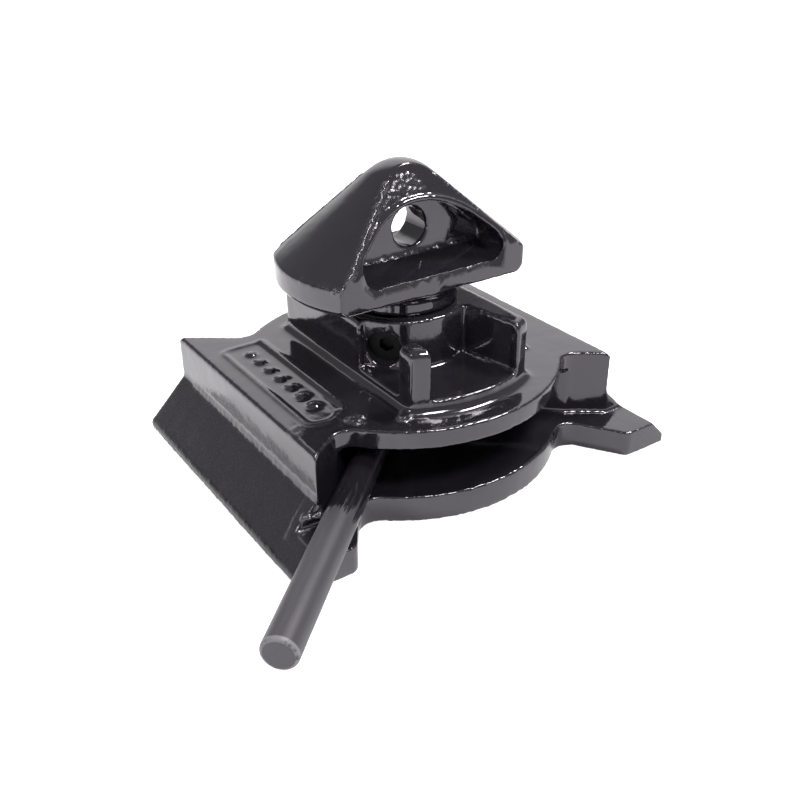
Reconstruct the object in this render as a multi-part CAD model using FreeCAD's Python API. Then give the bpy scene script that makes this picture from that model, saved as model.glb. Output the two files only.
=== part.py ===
"""Container twistlock with a dovetail base: one STEP file per piece.

Millimetres, +Z up. The origin is on the spindle's axis, at the underside of the base.
+Y runs along the dovetail towards the back and +X across it. The cone head is drawn
in its locked place, across the collar, and a turn of +90 degrees about +Z unlocks it.
"""
import FreeCAD, Part
import math
import os

V = FreeCAD.Vector
Z_AXIS = V(0, 0, 1)

# ---------------------------------------------------------------- dovetail base
BASE_HALF = 95.0            # half width at the underside
BASE_EDGE = 4.0             # upright edge below each flank
BLOCK_HALF = 76.0           # half width of the upright side blocks; the flanks rise at 45 degrees
BODY_TOP = 42.5             # height of the side blocks and of the round flange
PLATE_TOP = 12.0            # thickness of the lower plate
WING_FRONT = 76.0           # how far the front wings reach towards -Y
WING_INNER = 71.0           # half distance between the wings' inner front corners
WING_ANGLE = 57.0           # slope of the wings' inner sides, from the X axis
BACK_REACH = 71.5           # how far the back corners reach towards +Y
OBLIQUE = 36.0              # slope of the blocks' oblique end faces, from the X axis
BLOCK_FRONT = 56.0          # where the block's front oblique face starts on its side
SLOT_CLEAR = 2.1            # room between the handle and the slot's sides at the disc's rim
HUB_ROOM = 1.5              # room round the boss in the slot
DISC_R = 71.5               # lower disc and top flange
FLANGE_THICK = 8.5          # round flange over the handle's slot
WEB_FILLET = 9.0            # where wings and oblique faces run into the disc
BLOCK_ROUND = 1.5           # rounded top edges of the blocks
WING_ROUND = 3.0            # rounded upright corners of the wings

# ---------------------------------------------------------------- collar
COLLAR_R = 59.0             # round ends of the collar
COLLAR_HALF = 30.0          # flat sides of the collar
COLLAR_HIGH = 27.5          # a little under the floor thickness of a corner casting
COLLAR_CORNER = 3.5
COLLAR_TOP_ROUND = 3.5
COLLAR_FOOT = 4.5           # fillet between collar and flange
BARREL_R = 30.0             # bearing barrel round the shaft
POCKET_STEP = 5.5           # floor of the collar's pockets above the flange
WALL_FRONT = 9.0            # closed side wall at the pocket's mouth
WALL_BACK = 14.5            # the same wall where it meets the barrel
POST = 8.0                  # corner post between the mouth and the side window
POST_BEVEL = 2.0            # bevel on the post's inner corner, half as long the other way
WINDOW_BACK = 13.5          # back end of the side window

# ---------------------------------------------------------------- top ribs
RIB_X = 47.5
RIB_FRONT = -30.0
RIB_BACK = 44.0
RIB_WIDTH = 3.0
RIB_HIGH = 1.6
RIB_ROUND = 1.0

# ---------------------------------------------------------------- spindle
SHAFT_R = 19.0
RUN_CLEAR = 0.08            # radial running clearance of the shaft
END_CLEAR = 0.15            # axial play at each shoulder
NECK_R = 25.0
NECK_FILLET = 4.5
NECK_HIGH = 9.05            # neck between the collar's top and the head
HEAD_R = 53.5
HEAD_HALF = 27.5            # half thickness across the flat sides
HEAD_BAND = 11.5            # height of the upright band round the head
CONE_ANGLE = 50.0           # half angle of the cone
HEAD_HIGH = 50.0            # whole height of the head
LEAN_START = 14.0           # height above the head's underside where the flat sides lean in
LEAN_ANGLE = 32.0
BAND_ROUND = 2.5
THREAD_R = 17.5             # threaded end for the retaining nut
THREAD_CHAMFER = 1.5

# ---------------------------------------------------------------- pockets of the head
HEAD_WEB = 14.0             # wall left between the two pockets
LIP_HIGH = 7.0              # lip below each pocket's mouth
SHELF_RISE = 5.5            # the pocket's shelf climbs this much towards the web
POCKET_TOP = 36.5           # height of the mouth's top above the head's underside
POCKET_CORNER = 8.0
POCKET_CROWN = 40.0
CROSS_HOLE_R = 8.5
CROSS_HOLE_UP = 23.4        # height of the cross hole above the head's underside

# ---------------------------------------------------------------- handle
HANDLE_R = 6.6
HANDLE_REACH = 174.0        # from the shaft's axis to the tip
HANDLE_ROUND = 1.2
STUD_R = 6.0                # threaded end inside the shaft
STUD_CLEAR = 0.02
STUD_DEPTH = 10.0           # how far the stud passes the shaft's axis
SHOULDER_GAP = 0.3          # between the rod's shoulder and the flat on the shaft
FLAT_DEPTH = 1.0            # depth of the spot face on the shaft
FLAT_EXTRA = 1.5            # spot face radius beyond the rod's
SWING = 90.0                # quarter turn from locked to unlocked
SWING_SHIFT = 1.5           # how far the middle of the swing lies from the front, towards the left wing

# ---------------------------------------------------------------- set screw, in the shaft's end
GRUB_R = 4.0
GRUB_LENGTH = 9.0
GRUB_SOCKET = 4.0           # across flats
GRUB_SOCKET_DEPTH = 4.0
GRUB_CLEAR = 0.02

# ---------------------------------------------------------------- stop screw, in the barrel
STOP_AZIMUTH = 222.5
STOP_DOWN = 13.0            # screw's axis below the collar's top
STOP_R = 7.5
STOP_CLEAR = 0.04
STOP_SUNK = 6.0             # how deep the screw's outer end sits in the barrel
STOP_SOCKET = 6.0           # across flats
STOP_SOCKET_DEPTH = 3.5
DOG_R = 4.0
DOG_TIP = 15.6              # radius of the dog point's tip from the spindle's axis
GROOVE_CLEAR = 0.3
SCREW_GAP = 0.4             # between the screw's body and the shaft

# ---------------------------------------------------------------- underside
RECESS_DEPTH = 9.5
RECESS_ROOM = 3.0           # radial room round the nut
BOSS_HIGH = 4.0             # boss round the shaft on the slot's floor
BOSS_R = 27.0
WASHER_THICK = 2.0
WASHER_R = 25.5
WASHER_CLEAR = 0.2
NUT_R = 26.0
NUT_THICK = 6.3
NUT_CLEAR = 0.02
NUT_NOTCHES = 4
NOTCH_WIDE = 6.0
NOTCH_DEEP = 2.5
PIN_R = 2.0
PIN_CLEAR = 0.02
PIN_SHORT = 1.0             # how far the pin's ends stay inside the nut's rim

# ---------------------------------------------------------------- derived places
FLANK_TOP = BASE_EDGE + BASE_HALF - BLOCK_HALF
FLANGE_BOTTOM = BODY_TOP - FLANGE_THICK
COLLAR_TOP = BODY_TOP + COLLAR_HIGH
POCKET_FLOOR = BODY_TOP + POCKET_STEP
HANDLE_Z = (PLATE_TOP + FLANGE_BOTTOM) / 2
HANDLE_AZIMUTH = 270 - SWING / 2 - SWING_SHIFT
STOP_Z = COLLAR_TOP - STOP_DOWN
BORE_R = SHAFT_R + RUN_CLEAR
NECK_BOTTOM = COLLAR_TOP + END_CLEAR
HEAD_BOTTOM = NECK_BOTTOM + NECK_HIGH
SHOULDER_Z = RECESS_DEPTH - END_CLEAR
NUT_TOP = SHOULDER_Z - WASHER_THICK
SHAFT_END = NUT_TOP - NUT_THICK
RECESS_R = NUT_R + RECESS_ROOM
FLAT_R = SHAFT_R - FLAT_DEPTH
BEYOND = 5.0                # how far a cutting tool runs past the face it opens
ROOT_SINK = 4.0             # how far a drawn outline runs into the disc it joins
OVERLAP = 1.0               # how far two shapes run into each other before they are joined
NEAR = 0.01                 # two places closer than this are the same place
CORNER_REACH = 1.5          # an upright edge this close to a plan corner belongs to it


def tan(angle):
    return math.tan(math.radians(angle))


def sin(angle):
    return math.sin(math.radians(angle))


def cos(angle):
    return math.cos(math.radians(angle))


def polar(radius, azimuth, z=0.0):
    return V(radius * cos(azimuth), radius * sin(azimuth), z)


def prism(points, z0, z1):
    """Upright prism on a closed plan outline of (x, y) points."""
    wire = Part.makePolygon([V(x, y, z0) for x, y in points + points[:1]])
    return Part.Face(wire).extrude(V(0, 0, z1 - z0))


def rod(radius, start, end):
    """Round bar between two points."""
    return Part.makeCylinder(radius, (end - start).Length, start, end - start)


def hexagon(across_flats, z0, z1):
    corner = across_flats / 2 / cos(30)
    return prism([(corner * cos(a), corner * sin(a)) for a in range(0, 360, 60)], z0, z1)


def placed_radially(shape, azimuth, z):
    """Turn a tool drawn along +Z so that its +Z points outwards at the azimuth."""
    turned = shape.copy()
    turned.rotate(V(0, 0, 0), V(0, 1, 0), 90)
    turned.rotate(V(0, 0, 0), Z_AXIS, azimuth)
    turned.translate(V(0, 0, z))
    return turned


def turned_half(shape):
    half = shape.copy()
    half.rotate(V(0, 0, 0), Z_AXIS, 180)
    return half


def mirrored_x(shape):
    return shape.mirror(V(0, 0, 0), V(1, 0, 0))


def upright_edges(shape, places):
    """Upright edges whose plan position lies close to one of the places."""
    found = []
    for edge in shape.Edges:
        a, b = edge.Vertexes[0].Point, edge.Vertexes[-1].Point
        if abs(a.x - b.x) + abs(a.y - b.y) > NEAR or abs(a.z - b.z) < NEAR:
            continue
        if any(math.hypot(a.x - x, a.y - y) < CORNER_REACH for x, y in places):
            found.append(edge)
    return found


def both_sides(places):
    return places + [(-x, y) for x, y in places]


def towards_disc(point, azimuth, sink=0.0):
    """Where a line from a plan point meets the disc's rim, or that far inside it."""
    x, y = point
    b = x * cos(azimuth) + y * sin(azimuth)
    reach = -b - math.sqrt(b * b - (x * x + y * y - DISC_R ** 2)) + sink
    return (x + reach * cos(azimuth), y + reach * sin(azimuth))


# ================================================================ housing
def section_bar():
    """Dovetail section drawn out along Y: the widest the housing can be at each height."""
    half = [(BASE_HALF, 0), (BASE_HALF, BASE_EDGE), (BLOCK_HALF, FLANK_TOP), (BLOCK_HALF, BODY_TOP)]
    points = half + [(-x, z) for x, z in reversed(half)]
    wire = Part.makePolygon([V(x, -WING_FRONT, z) for x, z in points + points[:1]])
    return Part.Face(wire).extrude(V(0, WING_FRONT + BACK_REACH, 0))


def back_root(sink=0.0):
    """Where a back oblique face runs into the disc."""
    return towards_disc((BLOCK_HALF, BACK_REACH), 180 + OBLIQUE, sink)


def wing_root(sink=0.0):
    """Where a front wing's inner side runs into the disc."""
    return towards_disc((WING_INNER, -WING_FRONT), 180 - WING_ANGLE, sink)


def block_root(sink=0.0):
    """Where a block's front oblique face runs into the flange."""
    return towards_disc((BLOCK_HALF, -BLOCK_FRONT), 180 - OBLIQUE, sink)


def slot_side():
    """Two plan points on the slot's right side. The slot is even about the front, the swing is not."""
    azimuth = 270 + SWING / 2
    offset = HANDLE_R + SLOT_CLEAR + DISC_R * sin(SWING_SHIFT)
    inner = (-offset * sin(azimuth), offset * cos(azimuth))
    far = 2 * DISC_R
    return inner, (inner[0] + far * cos(azimuth), inner[1] + far * sin(azimuth))


def back_outline():
    """Back of the right half, from the wing's end to inside the disc."""
    root = back_root(ROOT_SINK)
    return [(BASE_HALF, BACK_REACH), (BLOCK_HALF, BACK_REACH), root, (0, root[1])]


def base_plate():
    """Lower plate: disc with the two dovetail wings."""
    front = [(0, 0), wing_root(ROOT_SINK), (WING_INNER, -WING_FRONT), (BASE_HALF, -WING_FRONT)]
    wing = prism(front + back_outline(), 0, PLATE_TOP)
    disc = Part.makeCylinder(DISC_R, PLATE_TOP)
    plate = disc.fuse([wing, mirrored_x(wing)]).removeSplitter()
    roots = both_sides([wing_root(), back_root()])
    plate = plate.makeFillet(WEB_FILLET, upright_edges(plate, roots))
    corners = both_sides([(WING_INNER, -WING_FRONT)])
    return plate.makeFillet(WING_ROUND, upright_edges(plate, corners))


def side_blocks():
    """Body above the plate: two blocks joined behind the slot, and the round flange over it."""
    front = [(0, 0), block_root(ROOT_SINK), (BLOCK_HALF, -BLOCK_FRONT), (BASE_HALF, -BLOCK_FRONT)]
    roots = both_sides([block_root(), back_root()])
    layers = []
    for z0, z1 in ((PLATE_TOP, FLANGE_BOTTOM), (FLANGE_BOTTOM, BODY_TOP)):
        block = prism(front + back_outline(), z0, z1)
        disc = Part.makeCylinder(DISC_R, z1 - z0, V(0, 0, z0))
        layer = disc.fuse([block, mirrored_x(block)]).removeSplitter()
        layers.append(layer.makeFillet(WEB_FILLET, upright_edges(layer, roots)))
    slot = slot_room()
    return layers[0].cut(slot).fuse(layers[1])


def collar_blank():
    """Collar that fills a corner casting's opening: round ends between flat sides."""
    high = COLLAR_TOP - BODY_TOP
    blank = Part.makeCylinder(COLLAR_R, high, V(0, 0, BODY_TOP))
    slab = Part.makeBox(2 * COLLAR_HALF, 2 * COLLAR_R, high, V(-COLLAR_HALF, -COLLAR_R, BODY_TOP))
    blank = blank.common(slab)
    end = math.sqrt(COLLAR_R ** 2 - COLLAR_HALF ** 2)
    corners = both_sides([(COLLAR_HALF, end), (COLLAR_HALF, -end)])
    blank = blank.makeFillet(COLLAR_CORNER, upright_edges(blank, corners))
    top = [e for e in blank.Edges if min(v.Z for v in e.Vertexes) > COLLAR_TOP - NEAR]
    return blank.makeFillet(COLLAR_TOP_ROUND, top)


def collar_pocket():
    """Pocket at the front of the collar: open at its mouth, its top and one side window."""
    high = COLLAR_TOP + BEYOND
    mouth = math.sqrt(COLLAR_R ** 2 - COLLAR_HALF ** 2)
    wall_x = COLLAR_HALF - WALL_FRONT
    barrel_x = COLLAR_HALF - WALL_BACK
    far = COLLAR_R + BEYOND
    room = [(barrel_x, -BARREL_R + BEYOND), (wall_x, -mouth), (wall_x, -far), (-far, -far),
            (-far, -WINDOW_BACK), (-barrel_x, -WINDOW_BACK)]
    tool = prism(room, POCKET_FLOOR, high)
    barrel = Part.makeCylinder(BARREL_R, high)
    post_back = mouth - POST
    post_side = -COLLAR_HALF + POST
    post = prism([(-far, -far), (post_side, -far), (post_side, -post_back - POST_BEVEL / 2),
                  (post_side - POST_BEVEL, -post_back), (-far, -post_back)], 0, high)
    return tool.cut(barrel.fuse(post))


def stop_hole():
    return rod(STOP_R, polar(0, STOP_AZIMUTH, STOP_Z), polar(BARREL_R + BEYOND, STOP_AZIMUTH, STOP_Z))


def slot_room():
    """Room that the handle swings in, open to the front between the blocks."""
    inner, outer = slot_side()
    plan = [inner, outer, (-outer[0], outer[1]), (-inner[0], inner[1])]
    room = prism(plan, PLATE_TOP, FLANGE_BOTTOM)
    hub = Part.makeCylinder(BOSS_R + HUB_ROOM, FLANGE_BOTTOM - PLATE_TOP, V(0, 0, PLATE_TOP))
    return room.fuse(hub)


def top_rib(side):
    """Raised rib with round ends that runs along a side block's top."""
    z0 = BODY_TOP - OVERLAP
    z1 = BODY_TOP + RIB_HIGH
    bar = Part.makeBox(RIB_WIDTH, RIB_BACK - RIB_FRONT, z1 - z0, V(-RIB_WIDTH / 2, RIB_FRONT, z0))
    ends = [Part.makeCylinder(RIB_WIDTH / 2, z1 - z0, V(0, y, z0)) for y in (RIB_FRONT, RIB_BACK)]
    rib = bar.fuse(ends).removeSplitter()
    crown = [e for e in rib.Edges if min(v.Z for v in e.Vertexes) > z1 - NEAR]
    rib = rib.makeFillet(RIB_ROUND, crown)
    rib.translate(V(side * RIB_X, 0, 0))
    return rib


def housing():
    allowed = section_bar().fuse(Part.makeCylinder(DISC_R, BODY_TOP))
    body = base_plate().fuse(side_blocks()).common(allowed).removeSplitter()
    edges = [e for e in body.Edges
             if all(abs(v.Z - BODY_TOP) < NEAR and abs(abs(v.X) - BLOCK_HALF) < NEAR for v in e.Vertexes)]
    body = body.makeFillet(BLOCK_ROUND, edges)
    body = body.fuse([collar_blank(), top_rib(-1), top_rib(1)]).removeSplitter()
    body = body.makeFillet(COLLAR_FOOT, [e for e in body.Edges if on_collar_foot(e)])
    boss = Part.makeCylinder(BOSS_R, BOSS_HIGH, V(0, 0, PLATE_TOP))
    pocket = collar_pocket()
    bore = Part.makeCylinder(BORE_R, COLLAR_TOP + 2 * BEYOND, V(0, 0, -BEYOND))
    recess = Part.makeCylinder(RECESS_R, RECESS_DEPTH + BEYOND, V(0, 0, -BEYOND))
    return body.fuse(boss).cut([pocket, turned_half(pocket), stop_hole(), bore, recess]).removeSplitter()


def on_collar_foot(edge):
    """Edges where the collar stands on the flange."""
    middle = edge.valueAt((edge.FirstParameter + edge.LastParameter) / 2)
    places = [v.Point for v in edge.Vertexes] + [middle]
    if any(abs(p.z - BODY_TOP) > NEAR for p in places):
        return False
    return all(math.hypot(p.x, p.y) < COLLAR_R + NEAR and abs(p.x) < COLLAR_HALF + NEAR for p in places)


# ================================================================ spindle
def head_blank():
    """Cone head as turned: band, cone and rounded apex."""
    band_top = HEAD_BOTTOM + HEAD_BAND
    apex = band_top + HEAD_R / tan(CONE_ANGLE)
    top = HEAD_BOTTOM + HEAD_HIGH
    nose = (apex - top) / (1 / sin(CONE_ANGLE) - 1)
    centre = top - nose
    touch = V(nose * cos(CONE_ANGLE), 0, centre + nose * sin(CONE_ANGLE))
    halfway = (90 - CONE_ANGLE) / 2
    mid = V(nose * sin(halfway), 0, centre + nose * cos(halfway))
    low = HEAD_BOTTOM
    corners = [V(0, 0, low), V(HEAD_R - BAND_ROUND, 0, low), V(HEAD_R, 0, low + BAND_ROUND),
               V(HEAD_R, 0, band_top), touch]
    edges = [Part.makeLine(a, b) for a, b in zip(corners, corners[1:])]
    edges.append(Part.Arc(touch, mid, V(0, 0, top)).toShape())
    edges.append(Part.makeLine(V(0, 0, top), V(0, 0, low)))
    return Part.Face(Part.Wire(edges)).revolve(V(0, 0, 0), Z_AXIS, 360)


def side_slab():
    """Room between the head's two flat sides, which lean in above the band."""
    bend = HEAD_BOTTOM + LEAN_START
    top = HEAD_BOTTOM + HEAD_HIGH + BEYOND
    narrow = HEAD_HALF - (top - bend) * tan(LEAN_ANGLE)
    low = HEAD_BOTTOM - BEYOND
    half = [(HEAD_HALF, low), (HEAD_HALF, bend), (narrow, top)]
    points = half + [(-y, z) for y, z in reversed(half)]
    far = HEAD_R + BEYOND
    wire = Part.makePolygon([V(-far, y, z) for y, z in points + points[:1]])
    return Part.Face(wire).extrude(V(2 * far, 0, 0))


def head_pocket():
    """Pocket in the head's front flat side: a rounded triangle that follows the cone."""
    slope = 90 - CONE_ANGLE
    low = HEAD_BOTTOM + LIP_HIGH
    top = HEAD_BOTTOM + POCKET_TOP
    peak = top + POCKET_CROWN * (1 / cos(slope) - 1)
    crown_z = top - POCKET_CROWN
    crown = V(POCKET_CROWN * sin(slope), 0, crown_z + POCKET_CROWN * cos(slope))
    corner_x = (peak - low) / tan(slope) - POCKET_CORNER / tan(slope / 2)
    corner_z = low + POCKET_CORNER
    side = V(corner_x + POCKET_CORNER * sin(slope), 0, corner_z + POCKET_CORNER * cos(slope))
    bulge = V(corner_x + POCKET_CORNER * cos(slope / 2), 0, corner_z - POCKET_CORNER * sin(slope / 2))
    foot = V(corner_x, 0, low)

    def flip(p):
        return V(-p.x, 0, p.z)

    edges = [Part.Arc(flip(crown), V(0, 0, top), crown).toShape(),
             Part.makeLine(crown, side), Part.Arc(side, bulge, foot).toShape(),
             Part.makeLine(foot, flip(foot)), Part.Arc(flip(foot), flip(bulge), flip(side)).toShape(),
             Part.makeLine(flip(side), flip(crown))]
    room = Part.Face(Part.Wire(edges)).extrude(V(0, -HEAD_R, 0))
    room.translate(V(0, -HEAD_WEB / 2, 0))
    shelf = [(-HEAD_WEB / 2, low + SHELF_RISE), (-HEAD_HALF, low), (-HEAD_HALF, HEAD_BOTTOM),
             (-HEAD_WEB / 2, HEAD_BOTTOM)]
    wire = Part.makePolygon([V(-HEAD_R, y, z) for y, z in shelf + shelf[:1]])
    return room.cut(Part.Face(wire).extrude(V(2 * HEAD_R, 0, 0)))


def neck_and_shaft():
    """Neck, shaft and threaded end, turned in one piece with the head."""
    fillet_z = HEAD_BOTTOM - NECK_FILLET
    centre = V(NECK_R + NECK_FILLET, 0, fillet_z)
    mid = centre + V(-NECK_FILLET * cos(45), 0, NECK_FILLET * sin(45))
    points = [V(0, 0, HEAD_BOTTOM + OVERLAP), V(0, 0, SHAFT_END),
              V(THREAD_R - THREAD_CHAMFER, 0, SHAFT_END), V(THREAD_R, 0, SHAFT_END + THREAD_CHAMFER),
              V(THREAD_R, 0, SHOULDER_Z), V(SHAFT_R, 0, SHOULDER_Z), V(SHAFT_R, 0, NECK_BOTTOM),
              V(NECK_R, 0, NECK_BOTTOM), V(NECK_R, 0, fillet_z)]
    edges = [Part.makeLine(a, b) for a, b in zip(points, points[1:])]
    flare = V(NECK_R + NECK_FILLET, 0, HEAD_BOTTOM)
    above = V(NECK_R + NECK_FILLET, 0, HEAD_BOTTOM + OVERLAP)
    edges.append(Part.Arc(points[-1], mid, flare).toShape())
    edges.append(Part.makeLine(flare, above))
    edges.append(Part.makeLine(above, points[0]))
    return Part.Face(Part.Wire(edges)).revolve(V(0, 0, 0), Z_AXIS, 360)


def stop_groove():
    """Quarter-turn groove in the shaft that the stop screw's dog point runs in."""
    half = DOG_R + GROOVE_CLEAR
    floor = DOG_TIP - GROOVE_CLEAR
    start = STOP_AZIMUTH - SWING
    tool = Part.makeCylinder(SHAFT_R + BEYOND, 2 * half, V(0, 0, STOP_Z - half), Z_AXIS, SWING)
    tool.rotate(V(0, 0, 0), Z_AXIS, start)
    tool = tool.cut(Part.makeCylinder(floor, 2 * half, V(0, 0, STOP_Z - half)))
    ends = [rod(half, polar(floor, a, STOP_Z), polar(SHAFT_R + BEYOND, a, STOP_Z))
            for a in (start, STOP_AZIMUTH)]
    return tool.fuse(ends)


def spindle():
    head = head_blank().common(side_slab())
    pocket = head_pocket()
    through = rod(CROSS_HOLE_R, V(0, -HEAD_R, HEAD_BOTTOM + CROSS_HOLE_UP),
                  V(0, HEAD_R, HEAD_BOTTOM + CROSS_HOLE_UP))
    head = head.cut([pocket, turned_half(pocket), through])
    body = head.fuse(neck_and_shaft().common(Part.makeBox(
        2 * HEAD_R, 2 * HEAD_HALF, HEAD_BOTTOM + OVERLAP, V(-HEAD_R, -HEAD_HALF, 0)))).removeSplitter()
    stud = rod(STUD_R + STUD_CLEAR, polar(-STUD_DEPTH - STUD_CLEAR, HANDLE_AZIMUTH, HANDLE_Z),
               polar(HEAD_R, HANDLE_AZIMUTH, HANDLE_Z))
    flat = rod(HANDLE_R + FLAT_EXTRA, polar(FLAT_R, HANDLE_AZIMUTH, HANDLE_Z),
               polar(HEAD_R, HANDLE_AZIMUTH, HANDLE_Z))
    grub = rod(GRUB_R + GRUB_CLEAR, V(0, 0, SHAFT_END - BEYOND), V(0, 0, HANDLE_Z))
    pin = rod(PIN_R + PIN_CLEAR, V(-NUT_R, 0, pin_height()), V(NUT_R, 0, pin_height()))
    return body.cut([stud, flat, grub, pin, stop_groove()])


# ================================================================ handle and small parts
def handle():
    """Straight rod with a threaded stud that goes through the shaft's middle."""
    shoulder = FLAT_R + SHOULDER_GAP
    bar = Part.makeCylinder(HANDLE_R, HANDLE_REACH - shoulder, V(0, 0, shoulder))
    tip = [e for e in bar.Edges if all(abs(v.Z - HANDLE_REACH) < NEAR for v in e.Vertexes)]
    bar = bar.makeFillet(HANDLE_ROUND, tip)
    stud = Part.makeCylinder(STUD_R, shoulder + STUD_DEPTH, V(0, 0, -STUD_DEPTH))
    return placed_radially(bar.fuse(stud).removeSplitter(), HANDLE_AZIMUTH, HANDLE_Z)


def handle_set_screw():
    """Grub screw that bears on the handle's stud from below."""
    top = HANDLE_Z - STUD_R - GRUB_CLEAR
    body = Part.makeCylinder(GRUB_R, GRUB_LENGTH, V(0, 0, top - GRUB_LENGTH))
    socket = hexagon(GRUB_SOCKET, top - GRUB_LENGTH - BEYOND, top - GRUB_LENGTH + GRUB_SOCKET_DEPTH)
    return body.cut(socket)


def stop_screw():
    """Screw in the barrel's radial hole, with a dog point in the shaft's groove."""
    inner = SHAFT_R + SCREW_GAP
    outer = BARREL_R - STOP_SUNK
    body = Part.makeCylinder(STOP_R - STOP_CLEAR, outer - inner, V(0, 0, inner))
    dog = Part.makeCylinder(DOG_R, outer - DOG_TIP, V(0, 0, DOG_TIP))
    socket = hexagon(STOP_SOCKET, outer - STOP_SOCKET_DEPTH, outer + BEYOND)
    return placed_radially(body.fuse(dog).removeSplitter().cut(socket), STOP_AZIMUTH, STOP_Z)


def thrust_washer():
    ring = Part.makeCylinder(WASHER_R, WASHER_THICK, V(0, 0, NUT_TOP))
    return ring.cut(Part.makeCylinder(THREAD_R + WASHER_CLEAR, WASHER_THICK, V(0, 0, NUT_TOP)))


def pin_height():
    return SHAFT_END + NUT_THICK / 2


def retaining_nut():
    """Round nut with notches for a hook spanner and a cross hole for its pin."""
    ring = Part.makeCylinder(NUT_R, NUT_THICK, V(0, 0, SHAFT_END))
    tools = [Part.makeCylinder(THREAD_R + NUT_CLEAR, NUT_THICK, V(0, 0, SHAFT_END))]
    for i in range(NUT_NOTCHES):
        notch = Part.makeBox(NOTCH_DEEP + BEYOND, NOTCH_WIDE, NUT_THICK,
                             V(NUT_R - NOTCH_DEEP, -NOTCH_WIDE / 2, SHAFT_END))
        notch.rotate(V(0, 0, 0), Z_AXIS, (i + 0.5) * 360 / NUT_NOTCHES)
        tools.append(notch)
    tools.append(rod(PIN_R + PIN_CLEAR, V(-NUT_R, 0, pin_height()), V(NUT_R, 0, pin_height())))
    return ring.cut(tools)


def nut_pin():
    half = NUT_R - PIN_SHORT
    return rod(PIN_R, V(-half, 0, pin_height()), V(half, 0, pin_height()))


PIECES = {
    "housing": housing,
    "spindle": spindle,
    "handle": handle,
    "handle_set_screw": handle_set_screw,
    "stop_screw": stop_screw,
    "thrust_washer": thrust_washer,
    "retaining_nut": retaining_nut,
    "nut_pin": nut_pin,
}

os.makedirs("parts", exist_ok=True)
for name, make in PIECES.items():
    shape = make()
    solids = shape.Solids
    print(name, "solids", len(solids), "valid", shape.isValid(), "volume", round(shape.Volume))
    box = shape.BoundBox
    print("   box", [round(v, 2) for v in (box.XMin, box.YMin, box.ZMin, box.XMax, box.YMax, box.ZMax)])
    shape = solids[0] if len(solids) == 1 else Part.makeCompound(solids)
    shape.exportStep(f"parts/{name}.step")
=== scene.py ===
# %% [markdown]
# # Dressing a container twistlock
# A twistlock is the cone-headed lock that holds a freight container to a ship's deck. This one is a
# cast housing with a dovetail base, a one-piece spindle with a cone head, and a plain rod as a handle.
# All of it is dipped in gloss black paint, so what the eye reads is the shape of the reflections:
# the softness of the edges, the waves of the casting and the lumps that the mould left.
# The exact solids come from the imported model. This script gives them their cast skin and their paint.

# %% Load the frame
import bpy
import bmesh
import math
from mathutils import Matrix, Vector


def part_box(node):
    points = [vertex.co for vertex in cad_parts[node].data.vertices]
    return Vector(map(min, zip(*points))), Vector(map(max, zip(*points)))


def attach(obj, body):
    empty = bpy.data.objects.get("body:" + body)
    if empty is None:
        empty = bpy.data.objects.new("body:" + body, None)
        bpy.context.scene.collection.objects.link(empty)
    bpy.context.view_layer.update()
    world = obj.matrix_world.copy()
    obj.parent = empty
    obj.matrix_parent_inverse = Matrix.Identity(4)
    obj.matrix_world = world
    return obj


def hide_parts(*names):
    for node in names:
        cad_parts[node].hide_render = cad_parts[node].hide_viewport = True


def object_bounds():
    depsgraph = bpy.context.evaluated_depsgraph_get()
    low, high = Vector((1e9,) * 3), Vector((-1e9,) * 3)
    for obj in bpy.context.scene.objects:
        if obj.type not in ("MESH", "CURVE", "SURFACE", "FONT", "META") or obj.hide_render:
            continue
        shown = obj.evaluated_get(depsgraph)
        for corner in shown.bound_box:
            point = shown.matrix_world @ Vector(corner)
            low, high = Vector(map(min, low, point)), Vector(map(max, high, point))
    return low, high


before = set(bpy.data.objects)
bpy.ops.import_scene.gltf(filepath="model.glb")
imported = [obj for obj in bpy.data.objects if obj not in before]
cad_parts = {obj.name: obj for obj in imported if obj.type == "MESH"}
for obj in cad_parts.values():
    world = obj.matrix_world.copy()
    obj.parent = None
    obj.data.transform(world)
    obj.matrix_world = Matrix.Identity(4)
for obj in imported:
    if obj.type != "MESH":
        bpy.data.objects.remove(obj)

MM = 0.001
cad_low, cad_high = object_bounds()
print("CAD box, mm:", [round(v / MM, 1) for v in (*cad_low, *cad_high)])
print("pieces:", sorted(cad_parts))

# %% [markdown]
# ## Camera
# A camera is easiest to place by four plain values: how far round the object, how high above it,
# how far away, and how much it leans. A short sideways shift then centres the object in the frame.

# %% Camera
AZIMUTH, ELEVATION, ROLL = -34.07, 28.97, -0.39
DISTANCE = 444.24 * MM
AIM = (-0.25 * MM, 14.92 * MM)
LENS = 42.32


def place_camera():
    az, el, roll = (math.radians(a) for a in (AZIMUTH, ELEVATION, ROLL))
    back = Vector((math.sin(az) * math.cos(el), -math.cos(az) * math.cos(el), math.sin(el)))
    level = Vector((math.cos(az), math.sin(az), 0))
    upright = back.cross(level)
    right = level * math.cos(roll) + upright * math.sin(roll)
    up = back.cross(right)
    camera = bpy.data.objects.new("camera", bpy.data.cameras.new("camera"))
    camera.data.lens = LENS
    camera.data.clip_start = DISTANCE / 40
    turn = Matrix((right, up, back)).transposed().to_4x4()
    camera.matrix_world = Matrix.Translation(right * AIM[0] + up * AIM[1] + back * DISTANCE) @ turn
    bpy.context.scene.collection.objects.link(camera)
    bpy.context.scene.camera = camera
    return camera


camera = place_camera()
bpy.context.scene.view_settings.view_transform = "Standard"
print("camera at, mm:", [round(v / MM) for v in camera.matrix_world.translation])

# %% [markdown]
# ## Small helpers for node trees
# Shader trees and geometry trees are built the same way: add a node, set its plain values, and plug
# other nodes into its inputs. One helper does all three, so each later tree reads as a short list.


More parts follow.
